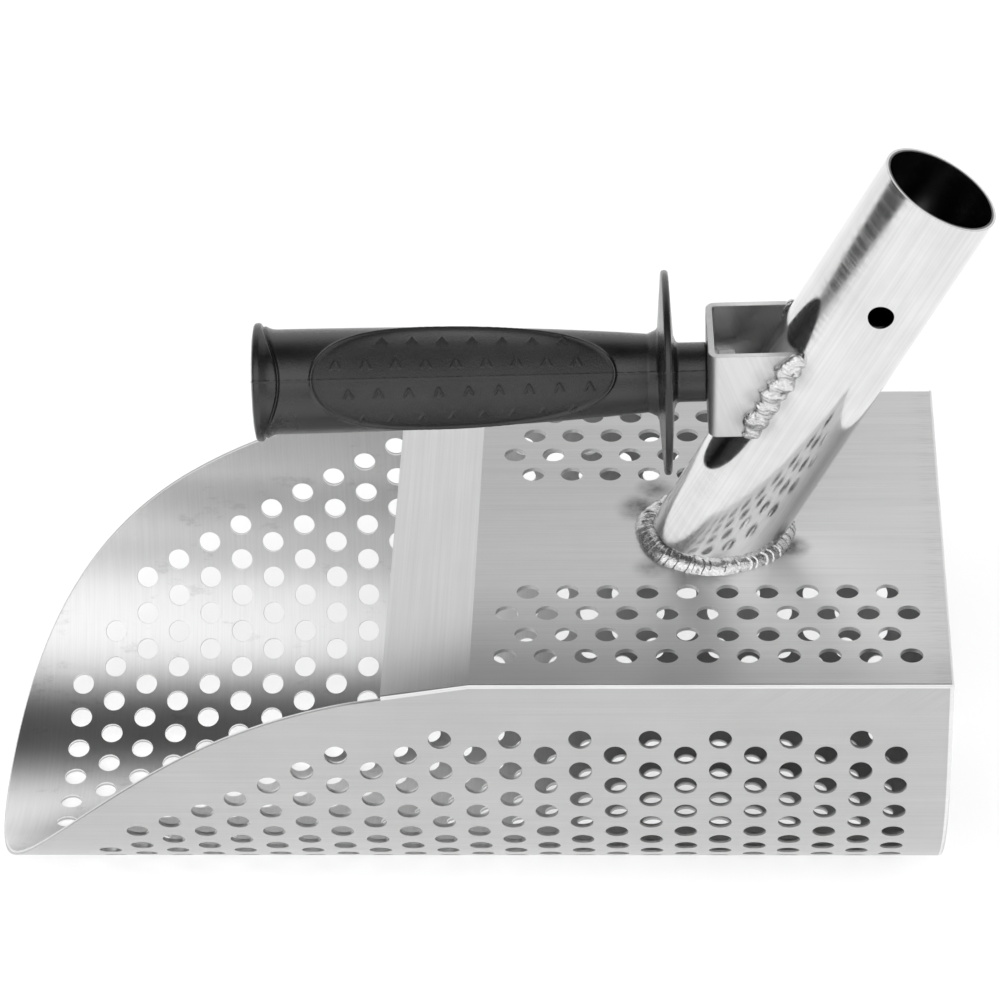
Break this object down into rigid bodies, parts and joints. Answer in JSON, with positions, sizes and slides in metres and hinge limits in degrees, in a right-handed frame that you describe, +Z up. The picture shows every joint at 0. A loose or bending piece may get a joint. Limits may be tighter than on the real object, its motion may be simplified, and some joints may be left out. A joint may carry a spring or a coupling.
{
  "type": "sand scoop",
  "caption": "Perforated steel sand scoop with a round-bottomed body, sloping lip, angled pole socket and a screw-on side grip with guard.",
  "frame": {"origin": "on the ground, at the middle of the scoop's length and width, which is below the bend line of the top plate", "axes": "+X from the open mouth to the back, +Y across the body to the far side, +Z up from the round bottom to the top plate"},
  "size_m": [0.3612, 0.176, 0.2776],
  "materials": {
    "sheet_steel": "brushed satin",
    "ground_weld": "ground",
    "polished_tube": "polished",
    "weld_bead": "rippled weld",
    "bracket_steel": "brushed satin",
    "grip_plastic": "satin",
    "zinc_plate": "dull zinc"
  },
  "bodies": {
    "scoop": {"scoop_shell": "sheet_steel", "top_plate": "sheet_steel", "back_plate": "sheet_steel", "seam_weld_near": "ground_weld", "seam_weld_far": "ground_weld", "seam_weld_back": "ground_weld", "socket_tube": "polished_tube", "socket_weld": "weld_bead", "handle_bracket": "bracket_steel", "bracket_weld_near": "weld_bead", "bracket_weld_far": "weld_bead"},
    "grip": {"grip_moulding": "grip_plastic", "grip_stud": "zinc_plate"},
    "washer": {"grip_washer": "zinc_plate"},
    "nut": {"grip_nut": "zinc_plate"}
  },
  "joints": [
    {"name": "grip_turn", "type": "hinge", "parent": "scoop", "child": "grip", "pos_m": [0.082, 0, 0.1934], "axis": [0.9994, 0.0349, 0], "continuous": true},
    {"name": "nut_slide", "type": "slide", "parent": "scoop", "child": "washer", "axis": [0.9994, 0.0349, 0], "range_m": [0, 0.001]},
    {"name": "nut_turn", "type": "hinge", "parent": "washer", "child": "nut", "pos_m": [0.082, 0, 0.1934], "axis": [0.9994, 0.0349, 0], "range_deg": [0, 288]}
  ],
  "couplings": [
    {"joint": "nut_slide", "follows": "nut_turn", "m_per_rad": 0.00019894}
  ]
}
